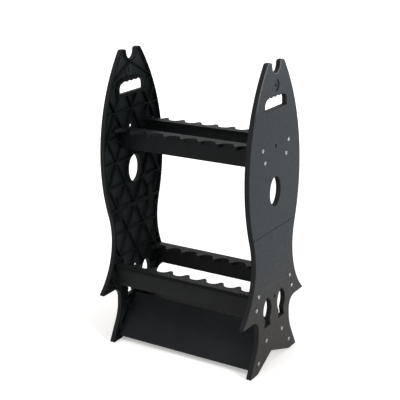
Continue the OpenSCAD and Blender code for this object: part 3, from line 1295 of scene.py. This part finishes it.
@dataclass
class SidePanel:
    """A fish standing on its forked tail, moulded in two halves with ribs inside.

    Attributes:
        rack: The rack's shared sizes.
        skin: Thickness of the smooth outer wall.
        rim: Width of the rim round each half.
        body: Half depth, height of the fullest point, and radius of the body's side.
        waist: Half depth and radius of the waist.
        fin: Height of the fins' underside and the radius below it.
        neck: Half depth, height and radius of the neck above the tail.
        flare: Outward slope of the tail from upright, in degrees.
        tips: Radii of the tips of the fins and of the feet.
        heel: Distance from the middle to the inner end of a foot.
        arch: Height of the arch between the feet, and how far its peak stands in front of the middle.
        mouth: Depth, radius and side slope of the mouth, the slope in degrees.
        lip: Radius of the lips.
        seam_gap: Width and depth of the gap between the halves.
        eye: Distance of the eye below the lips, its diameter and its depth.
        pupil: Diameter of the pupil and its depth below the eye.
        handle: Distance of the hand slot's lower edge below the lips, its width, height and corner radius.
        grips: Number and radius of the finger grips.
        oval: Height of the oval's centre, its width and its height.
        hang_holes: Heights of the two small holes.
        hang_hole: Diameter of the small holes.
        fish: Distance of a small fish from the middle, height of its tail, its length and width.
        tail: Width and length of a small fish's tail.
        cell: Side of the triangles between ribs.
        rows: Number of ribs to each side of the middle one, in each direction.
        rib: Thickness of a rib.
        collar: Width of the collar round an opening.
        handle_collar: Width of the collar round the hand slot.
        nose_rib: Distance of the arched rib's peak below the lips, and its slope in degrees.
        boss: Diameter of the screw bosses.
        bore: Diameter of the screw holes.
        pin: Distance of a joint pin from the middle, its diameter and its length.
        pin_wall: Thickness of the plastic beside a pin.
        edges: Rounding of the panel's inner and outer edges.
        inner_band: Depth of the ribs' painted-shade finish on the panel's edge.
        face_band: Depth below the outer face from which on the edge takes the painted highlight.
        bevel: Width of the bevel on the edges that the cuts leave.
        screws: Depth and height of the screws of the rear bars and board.
    """

    rack: Rack
    skin: float = 3.0
    rim: float = 4.0
    body: tuple[float, float, float] = (116.0, 439.0, 412.0)
    waist: Point = (86.5, 169.0)
    fin: Point = (130.0, 26.0)
    neck: tuple[float, float, float] = (72.5, 97.0, 105.0)
    flare: float = 28.0
    tips: Point = (2.0, 3.0)
    heel: float = 75.5
    arch: Point = (32.0, 12.0)
    mouth: tuple[float, float, float] = (25.0, 18.0, 8.0)
    lip: float = 6.0
    seam_gap: Point = (1.0, 2.6)
    eye: tuple[float, float, float] = (50.0, 26.0, 2.0)
    pupil: Point = (6.5, 2.5)
    handle: tuple[float, float, float, float] = (99.0, 95.0, 24.0, 13.0)
    grips: tuple[int, float] = (4, 16.0)
    oval: tuple[float, float, float] = (403.0, 47.0, 66.0)
    hang_holes: Point = (504.0, 160.0)
    hang_hole: float = 8.0
    fish: tuple[float, float, float, float] = (32.5, 100.0, 68.0, 35.0)
    tail: Point = (28.0, 17.0)
    cell: float = 66.0
    rows: int = 12
    rib: float = 2.5
    collar: float = 3.5
    handle_collar: float = 7.0
    nose_rib: Point = (30.0, 29.0)
    boss: float = 15.0
    bore: float = 4.8
    pin: tuple[float, float, float] = (60.0, 6.0, 48.0)
    pin_wall: float = 5.0
    edges: Rounding = Rounding(1.0, 1.6)
    inner_band: float = 0.6
    face_band: float = 0.05
    bevel: float = 0.45
    screws: list[Point] = field(default_factory=list)

    def _waist_centre(self) -> tuple[Point, float]:
        """Give the centre of the waist's arc, and the angle at which it meets the body's."""
        half, height, radius = self.body
        across = self.waist[0] + self.waist[1]
        down = math.sqrt((radius + self.waist[1]) ** 2 - (across - half + radius) ** 2)
        turn = math.degrees(math.atan2(-down, across - half + radius))
        return (across, height - down), turn

    def _head(self) -> list[Point]:
        """Trace one side from the mouth's bottom down to the joint."""
        depth, radius, slant = self.mouth
        half, height, side = self.body
        turn = math.radians(slant)
        middle = (0.0, self.rack.height - depth + radius)
        lip_height = self.rack.height - self.lip
        reach = (lip_height - middle[1] + math.sin(turn) * (radius + self.lip)) / math.cos(turn)
        inner_lip = (
            (radius + self.lip) * math.cos(turn) + reach * math.sin(turn),
            middle[1] - (radius + self.lip) * math.sin(turn) + reach * math.cos(turn),
        )
        centre = (half - side, height)
        outer_lip = (centre[0] + math.sqrt((side - self.lip) ** 2 - (lip_height - height) ** 2), lip_height)
        turn_lip = math.degrees(math.atan2(lip_height - height, outer_lip[0] - centre[0]))
        turn_seam = math.degrees(math.asin((self.rack.seam - height) / side))
        return [
            *arc(middle, radius, -90, -slant),
            *arc(inner_lip, self.lip, 180 - slant, 90, TIP_STEP),
            *arc(outer_lip, self.lip, 90, turn_lip, TIP_STEP),
            *arc(centre, side, turn_lip, turn_seam, FLANK_STEP),
        ]

    def _tail(self, sharp: bool) -> list[Point]:
        """Trace one side from the joint down to the heel.

        Args:
            sharp: Whether the tips of the fin and the foot stay sharp.

        Returns:
            The points, from the joint to the heel.
        """
        half, height, radius = self.body
        centre = (half - radius, height)
        waist, turn = self._waist_centre()
        fin_height, fin_radius = self.fin
        neck_half, neck_height, neck_radius = self.neck
        turn_seam = math.degrees(math.asin((self.rack.seam - height) / radius))
        turn_fin = math.degrees(math.asin((waist[1] - fin_height) / self.waist[1]))
        fin = (waist[0] - math.sqrt(self.waist[1] ** 2 - (fin_height - waist[1]) ** 2), fin_height)
        waist_line = arc(waist, self.waist[1], 180 + turn, 180 + turn_fin, WAIST_STEP)
        flare = math.radians(self.flare)
        neck = (neck_half + neck_radius, neck_height)
        neck_line = arc(neck, neck_radius, 180, 180 + self.flare, NECK_STEP)
        ankle = neck_line[-1]
        foot = (ankle[0] + ankle[1] * math.tan(flare), 0.0)
        under = (neck_half + fin_radius, fin_height)
        tip = [fin] if sharp else rounded_corner(waist_line[-2], fin, under, self.tips[0])
        toe = [foot] if sharp else rounded_corner(ankle, foot, (self.heel, 0.0), self.tips[1])
        clear = 0.5
        reach = [p for p in waist_line if p[1] > tip[0][1] + clear]
        return [
            *arc(centre, radius, turn_seam, turn, FLANK_STEP),
            *reach,
            *tip,
            *arc((neck_half + fin_radius, fin_height - fin_radius), fin_radius, 90, 180, CORNER_STEP),
            *neck_line,
            *toe,
            (self.heel, 0.0),
        ]

    def outline(self, storey: Storey, sharp: bool = False) -> Outline:
        """Trace the outline of one half in Y and Z.

        Args:
            storey: Which half.
            sharp: Whether the tips of the fins and feet stay sharp.

        Returns:
            Its outline, with the joint's edge marked.
        """
        if storey is Storey.UPPER:
            side = self._head()
            return Outline.through(side + mirrored(side), self.rack.seam)
        peak = (-self.arch[1], self.arch[0])
        side = self._tail(sharp)
        return Outline.through([*side, peak, *mirrored(side)], self.rack.seam)

    def _hand_slot(self) -> Outline:
        """Trace the hand slot, with finger grips along its upper edge."""
        drop, width, height, radius = self.handle
        count, grip = self.grips
        low = self.rack.height - drop
        high = low + height
        flat = width / 2 - radius
        grip_width = 2 * flat / count
        dip = grip - math.sqrt(grip**2 - (grip_width / 2) ** 2)
        turn = math.degrees(math.asin(grip_width / 2 / grip))
        points = [(-flat - radius, low), (flat + radius, low)]
        points += arc((flat, high - radius), radius, 0, 90, CORNER_STEP)
        for i in reversed(range(count)):
            points += arc((-flat + (i + 0.5) * grip_width, high + dip - grip), grip, 90 - turn, 90 + turn)
        return Outline.through(points + arc((-flat, high - radius), radius, 90, 180, CORNER_STEP))

    def _oval(self) -> Outline:
        """Trace the oval."""
        middle, width, height = self.oval
        turns = [2 * math.pi * i / FINE_SIDES for i in range(FINE_SIDES)]
        return Outline.through((width / 2 * math.cos(t), middle + height / 2 * math.sin(t)) for t in turns)

    def _small_fish(self, side: int) -> Outline:
        """Trace a small fish that stands on its tail.

        Args:
            side: 1 for the rear fish and -1 for the front one.

        Returns:
            Its outline.
        """
        offset, low, length, width = self.fish
        tail_width, tail_length = self.tail
        half = (length - tail_length / 2) / 2
        radius = (half**2 + (width / 2) ** 2) / width
        middle = low + length - half
        turn_root = math.degrees(math.asin((low + tail_length - middle) / radius))
        turn_nose = math.degrees(math.asin(half / radius))
        flank = arc((width / 2 - radius, middle), radius, turn_root, turn_nose)
        points = [(tail_width / 2, low), *flank, *mirrored(flank), (-tail_width / 2, low)]
        return Outline.through((side * offset + u, v) for u, v in points)

    def _openings(self, storey: Storey) -> list[tuple[Outline, float]]:
        """Give the large openings of one half, each with the width of its collar."""
        if storey is Storey.UPPER:
            return [(self._hand_slot(), self.handle_collar), (self._oval(), self.collar)]
        return [(self._small_fish(side), self.collar) for side in (-1, 1)]

    def _round_holes(self, storey: Storey) -> list[tuple[Point, float]]:
        """Give the places and diameters of the round holes of one half."""
        places = [((side * y, z), self.bore) for y, z in self.screws for side in (-1, 1)]
        places += [((0.0, z), self.hang_hole) for z in self.hang_holes]
        upper = storey is Storey.UPPER
        return [(place, size) for place, size in places if (place[1] > self.rack.seam) == upper]

    def _ribs(self, storey: Storey) -> list[list[Point]]:
        """Give the loops of all that stands between the pockets of one half."""
        seam = self.rack.seam
        row = self.cell * math.sin(math.radians(60))
        slot_top = self.rack.height - self.handle[0] + self.handle[2]
        ceiling = seam + row * math.floor((slot_top - seam) / row) + self.rib / 2
        ribs = []
        for turn in (0, 60, 120):
            along = Vector((math.cos(math.radians(turn)), math.sin(math.radians(turn))))
            across = Vector((-along.y, along.x))
            for k in range(-self.rows, self.rows + 1):
                ribs.append(self._rib(Vector((0, seam)) + across * row * k, along, ceiling))
        ribs = [rib for rib in ribs if rib]
        loops = [opening.inset(-width) for opening, width in self._openings(storey)]
        for place, size in self._round_holes(storey):
            if size == self.bore:
                loops.append(arc(place, self.boss / 2, 0, 360 - BOSS_STEP, BOSS_STEP))
        offset, size, length = self.pin
        for side in (-1, 1):
            low = (side * offset - size / 2 - self.pin_wall, seam - length / 2 - self.rim)
            loops.append(rectangle(low, (low[0] + size + 2 * self.pin_wall, 2 * seam - low[1])))
        if storey is Storey.UPPER:
            loops += self._nose_ribs()
        return ribs + loops

    def _rib(self, start: Vector, along: Vector, ceiling: float) -> list[Point] | None:
        """Give the loop of one rib of the lattice, which ends at a ceiling.

        Args:
            start: A point on it.
            along: Its direction.
            ceiling: Height at which it ends.

        Returns:
            The loop, or None where the rib would lie above the ceiling.
        """
        reach, below = 500.0, 40.0
        across = Vector((-along.y, along.x)) * self.rib / 2
        if along.y < SQUARE:
            if start.y > ceiling or start.y < 0:
                return None
            ends = (start - along * reach, start + along * reach)
        else:
            down, up = start.y / along.y + below, (ceiling - start.y) / along.y
            ends = (start - along * down, start + along * up)
        return strip(*ends, across)

    def _nose_ribs(self) -> list[list[Point]]:
        """Give the two ribs that meet under the mouth and slope down to the rim."""
        drop, slope = self.nose_rib
        peak = Vector((0, self.rack.height - drop))
        loops = []
        for side in (-1, 1):
            along = Vector((side * math.cos(math.radians(slope)), -math.sin(math.radians(slope))))
            across = Vector((-along.y, along.x)) * self.rib / 2
            loops.append(strip(peak - along * self.rib, peak + along * self.body[0], across))
        return loops

    def _eye_back(self) -> bmesh.types.BMesh:
        """Turn the step that keeps the skin's thickness behind the eye and its pupil."""
        drop, size, sink = self.eye
        eye, pupil = (size + self.skin) / 2, (self.pupil[0] + self.skin) / 2
        low, deep = -self.skin - sink, -self.skin - sink - self.pupil[1]
        top = -self.skin / 2
        step = [(0, deep), (pupil, deep), (pupil, low), (eye, low), (eye, top), (0, top)]
        return moved(turned(step, FINE_SIDES), self._on_face(drop))

    def _eye(self) -> bmesh.types.BMesh:
        """Turn the cutter of the sunken eye and its pupil."""
        drop, size, sink = self.eye
        eye, pupil = size / 2, self.pupil[0] / 2
        low, deep = -sink, -sink - self.pupil[1]
        hollow = [(0, deep), (pupil, deep), (pupil, low), (eye, low), (eye, OVERCUT), (0, OVERCUT)]
        return moved(turned(hollow, FINE_SIDES), self._on_face(drop))

    def _seam_gap(self) -> bmesh.types.BMesh:
        """Cut the narrow gap that shows between the two halves on the outer face."""
        width, depth = self.seam_gap
        mesh = bmesh.new()
        bmesh.ops.create_cube(mesh, size=1)
        scale = Matrix.Diagonal((2 * depth, 2 * self.body[0], width, 1))
        return moved(mesh, Matrix.Translation((self.rack.width / 2, 0, self.rack.seam)) @ scale)

    def _on_face(self, drop: float) -> Matrix:
        """Place something turned about the third axis on the outer face, below the lips."""
        place = Matrix.Translation((self.rack.width / 2, 0, self.rack.height - drop))
        return place @ Matrix.Rotation(math.radians(90), 4, "Y")

    def build(self, name: str, storey: Storey) -> Moulding:
        """Build one half of the right side panel in its place.

        Args:
            name: Name of the piece.
            storey: Which half.

        Returns:
            The moulding.
        """
        outline = self.outline(storey)
        openings = [opening for opening, _ in self._openings(storey)]
        holes = self._round_holes(storey)
        inner, outer = self.rack.inner, self.rack.width / 2
        body = moved(rounded_prism(outline, openings, inner, outer, self.edges), UPRIGHT)
        interior = self.outline(storey, sharp=True).field(self.rim)
        floor = outer - self.skin
        pockets = moved(pocket_cutters(interior, self._ribs(storey), inner - OVERCUT, floor), UPRIGHT)
        upper, edge = storey is Storey.UPPER, self.edges.high
        # Rib tops take the painted shade, the head's outer edge the painted highlight, and the pocket walls
        # and floors below the painted light
        for face in body.faces:
            place = face.calc_center_median()
            if place.x < inner + self.inner_band:
                face.material_index = PanelCoat.RIBS
            elif place.x < outer - edge:
                face.material_index = PanelCoat.EDGE
            elif upper and place.x < outer - self.face_band and outline.gap(place.yz) < edge:
                face.material_index = PanelCoat.LIP
        for face in pockets.faces:
            face.material_index = PanelCoat.BACK
        coats = [PANEL_FACE, PANEL_BACK_PAINTED_LIGHT, PANEL_EDGE, PANEL_RIBS_PAINTED_SHADE]
        if upper:
            coats.append(PANEL_LIP_HIGHLIGHT)
        half = Moulding(name, body, *coats)
        half.cut(pockets)
        for place, size in holes:
            hole = Outline.through(arc(place, size / 2, 0, 360, BORE_STEP))
            half.cut(moved(rounded_prism(hole, [], inner - OVERCUT, outer + OVERCUT, SHARP), UPRIGHT))
        half.cut(self._seam_gap())
        if upper:
            eye_back = self._eye_back()
            for face in eye_back.faces:
                face.material_index = PanelCoat.BACK
            half.join(eye_back)
            half.cut(self._eye())
        half.ease(self.bevel)
        return half


@dataclass
class Fasteners:
    """The rack's screws and joint pins.

    Attributes:
        rack: The rack's shared sizes.
        screw: The screw that all bars and boards share.
        pin: Distance of a joint pin from the middle, its diameter and its length.
        twist: Turn of the recess from one screw to the next, in degrees.
        chamfer: Width of the chamfers on a pin's ends.
    """

    rack: Rack
    screw: Screw
    pin: tuple[float, float, float]
    twist: float = 37.0
    chamfer: float = 0.6

    def screws(self, name: str, places: Sequence[Point], row: Row) -> Moulding:
        """Drive a bar's or a board's screws in from both side panels.

        Args:
            name: Name of the piece.
            places: Depth and height of the screws.
            row: Which side of the middle the bar or board lies on.

        Returns:
            All four screws as one piece.
        """
        one = self.screw.solid()
        pattern = bpy.data.meshes.new("pattern")
        one.to_mesh(pattern)
        one.free()
        mesh = bmesh.new()
        twist = 0.0
        for hand in Hand:
            for y, z in places:
                twist += self.twist
                place = Matrix.Translation((hand.value * self.rack.width / 2, row.value * y, z))
                aim = Matrix.Rotation(hand.value * math.pi / 2, 4, "Y")
                turn = aim @ Matrix.Rotation(math.radians(twist), 4, "Z")
                start = len(mesh.verts)
                mesh.from_mesh(pattern)
                mesh.verts.ensure_lookup_table()
                bmesh.ops.transform(mesh, matrix=place @ turn, verts=mesh.verts[start:])
        bpy.data.meshes.remove(pattern)
        return Moulding(name, mesh, SCREW_ZINC)

    def pins(self, name: str, hand: Hand) -> Moulding:
        """Set the two pins across the joint of a side panel.

        Args:
            name: Name of the piece.
            hand: Which side panel.

        Returns:
            Both pins as one piece.
        """
        offset, size, length = self.pin
        radius, half = size / 2, length / 2
        upper = [(radius, half - self.chamfer), (radius - self.chamfer, half), (0, half)]
        profile = [(u, -v) for u, v in reversed(upper)] + upper
        pins = Moulding(name, self._pin(profile, hand, -offset), PIN_STEEL)
        pins.join(self._pin(profile, hand, offset))
        return pins

    def _pin(self, profile: Sequence[Point], hand: Hand, y: float) -> bmesh.types.BMesh:
        """Turn one pin in its place."""
        across = hand.value * (self.rack.width - self.rack.panel) / 2
        return moved(turned(profile, PIN_SIDES), Matrix.Translation((across, y, self.rack.seam)))


# The studio


def background_rays(tree: bpy.types.NodeTree) -> bpy.types.NodeSocket:
    """Tell the rays that show the background: those of the camera, of gloss and of transmission.

    Args:
        tree: Node tree that the nodes are added to.

    Returns:
        1 for such a ray and 0 for any other.
    """
    rays = tree.nodes.new("ShaderNodeLightPath")
    found = rays.outputs["Is Camera Ray"]
    for name in ("Is Glossy Ray", "Is Transmission Ray"):
        either = tree.nodes.new("ShaderNodeMath")
        either.operation = "MAXIMUM"
        tree.links.new(found, either.inputs[0])
        tree.links.new(rays.outputs[name], either.inputs[1])
        found = either.outputs["Value"]
    return found


@dataclass(frozen=True)
class SoftBox:
    """A square soft box.

    Attributes:
        name: Name of the lamp.
        place: Its place, in metres.
        aim: The point it faces, in metres.
        size: Length of its sides, in metres.
        power: Its power, in watts.
    """

    name: str
    place: Place
    aim: Place
    size: float
    power: float

    def hang(self) -> None:
        """Hang it in the scene."""
        data = bpy.data.lights.new(self.name, "AREA")
        data.shape = "SQUARE"
        data.size = self.size
        data.energy = self.power
        lamp = bpy.data.objects.new(self.name, data)
        lamp.location = self.place
        lamp.rotation_euler = (Vector(self.aim) - Vector(self.place)).to_track_quat("-Z", "Y").to_euler()
        bpy.context.scene.collection.objects.link(lamp)


SOFT_BOXES = (
    SoftBox("key", place=(2.4, -0.5, 1.0), aim=(0.1, 0, 0.4), size=0.9, power=55),
    SoftBox("top", place=(-0.2, -0.3, 2.4), aim=(0, 0, 0.3), size=2.0, power=25),
    SoftBox("fill", place=(-1.2, -2.2, 1.2), aim=(0, 0, 0.35), size=1.5, power=10),
)


@dataclass
class Studio:
    """Floor, soft boxes, even light and camera.

    Attributes:
        yaw: Turn of the camera to the right of the front, in radians.
        pitch: Its height above the level, in radians.
        roll: Its roll, in radians.
        distance: Distance from the point it looks at, in metres.
        target: The point it looks at, in metres.
        lens: Focal length, in millimetres.
        sensor: Width of the sensor, in millimetres.
        shift: Vertical shift, as a share of the frame.
        even: Strength of the light from all round.
        paper: Colour of the floor.
        paper_sheen: Its roughness.
        reach: How far the floor reaches from the middle, in metres.
        glow: Strength of the floor's own light near the rack and far from it.
        fade: Distances from the middle between which that light rises, in metres.
    """

    yaw: float = 0.559
    pitch: float = 0.296
    roll: float = -0.014
    distance: float = 2.2116
    target: Place = (-0.0004, 0.0, 0.3998)
    lens: float = 88.86
    sensor: float = 36.0
    shift: float = -0.05
    even: float = 0.5
    paper: Colour = (0.8, 0.79, 0.77)
    paper_sheen: float = 0.9
    reach: float = 12.0
    glow: Point = (0.35, 1.0)
    fade: Point = (0.2, 2.2)

    def camera(self) -> None:
        """Set up the camera at the viewing angle."""
        yaw, pitch, roll = self.yaw, self.pitch, self.roll
        level = math.cos(pitch)
        back = Vector((math.sin(yaw) * level, -math.cos(yaw) * level, math.sin(pitch)))
        across = Vector((math.cos(yaw), math.sin(yaw), 0))
        up = back.cross(across)
        right = across * math.cos(roll) + up * math.sin(roll)
        top = back.cross(right)
        place = Vector(self.target) + back * self.distance
        data = bpy.data.cameras.new("camera")
        data.lens = self.lens
        data.sensor_width = self.sensor
        data.shift_y = self.shift
        camera = bpy.data.objects.new("camera", data)
        turn = Matrix((right, top, back)).transposed().to_4x4()
        camera.matrix_world = Matrix.Translation(place) @ turn
        bpy.context.scene.collection.objects.link(camera)
        bpy.context.scene.camera = camera

    def floor(self) -> None:
        """Lay a pale floor that keeps the rack's shadow and looks white to the camera."""
        mesh = bmesh.new()
        bmesh.ops.create_grid(mesh, x_segments=8, y_segments=8, size=self.reach)
        data = bpy.data.meshes.new("floor")
        mesh.to_mesh(data)
        mesh.free()
        floor = bpy.data.objects.new("floor", data)
        bpy.context.scene.collection.objects.link(floor)
        made = bpy.data.materials.new("floor_paper")
        nodes = Nodes(made)
        sockets = nodes.shader.inputs
        sockets["Base Color"].default_value = (*self.paper, 1)
        sockets["Roughness"].default_value = self.paper_sheen
        sockets["Specular IOR Level"].default_value = 0.0
        sockets["Emission Color"].default_value = (1, 1, 1, 1)
        glow = nodes.spread(nodes.distance(), *self.fade, *self.glow)
        nodes.link(nodes.product(background_rays(nodes.tree), glow), sockets["Emission Strength"])
        data.materials.append(made)

    def world(self) -> None:
        """Light the scene evenly from all round, with a white background."""
        world = bpy.data.worlds.new("studio")
        world.use_nodes = True
        tree = world.node_tree
        tree.nodes.clear()
        output = tree.nodes.new("ShaderNodeOutputWorld")
        mix = tree.nodes.new("ShaderNodeMixShader")
        for number, strength in ((1, self.even), (2, 1.0)):
            light = tree.nodes.new("ShaderNodeBackground")
            light.inputs["Color"].default_value = (1, 1, 1, 1)
            light.inputs["Strength"].default_value = strength
            tree.links.new(light.outputs["Background"], mix.inputs[number])
        tree.links.new(background_rays(tree), mix.inputs["Fac"])
        tree.links.new(mix.outputs["Shader"], output.inputs["Surface"])
        bpy.context.scene.world = world

    def build(self) -> None:
        """Build the whole studio."""
        self.camera()
        self.floor()
        self.world()
        for box in SOFT_BOXES:
            box.hang()
        bpy.context.scene.view_settings.view_transform = "Standard"


def main() -> None:
    """Build the rack piece by piece, then the studio."""
    logging.basicConfig(level=logging.INFO, format="%(message)s")
    rack = Rack()
    bar, board = RodBar(rack), BaseBoard(rack)
    (upper_edge, upper_top), (lower_edge, lower_top) = rack.upper_bar, rack.lower_bar
    upper = [(upper_edge + y, upper_top + z) for y, z in bar.screws]
    lower = [(lower_edge - y, lower_top + z) for y, z in bar.screws]
    panel = SidePanel(rack, screws=upper + lower + board.screws)
    fasteners = Fasteners(rack, Screw(), panel.pin)

    for hand in Hand:
        flip = Matrix.Diagonal((hand.value, 1, 1, 1))
        for storey in Storey:
            node = f"{hand.name.lower()}_side_{storey.value}"
            panel.build(f"{node}_moulding", storey).finish(flip, node, "panel")
        node = f"{hand.name.lower()}_joint_pins"
        fasteners.pins(f"{node}_steel", hand).finish(Matrix.Identity(4), node, "pin")

    for row in Row:
        side = row.name.lower()
        outwards = Matrix.Diagonal((1, row.value, 1, 1))
        inwards = Matrix.Diagonal((1, -row.value, 1, 1))
        place = Matrix.Translation((0, row.value * upper_edge, upper_top)) @ outwards
        bar.build(f"upper_{side}_bar_moulding").finish(place, f"upper_{side}_bar", "bar")
        place = Matrix.Translation((0, row.value * lower_edge, lower_top)) @ inwards
        bar.build(f"lower_{side}_bar_moulding").finish(place, f"lower_{side}_bar", "bar")
        board.build(f"{side}_base_board_plate").finish(outwards, f"{side}_base_board", "board")
        groups = ((f"upper_{side}", upper), (f"lower_{side}", lower), (f"{side}_base", board.screws))
        for group, places in groups:
            screws = fasteners.screws(f"{group}_screws_zinc", places, row)
            screws.finish(Matrix.Identity(4), f"{group}_screws", "screw")

    Studio().build()


if __name__ == "__main__":
    main()
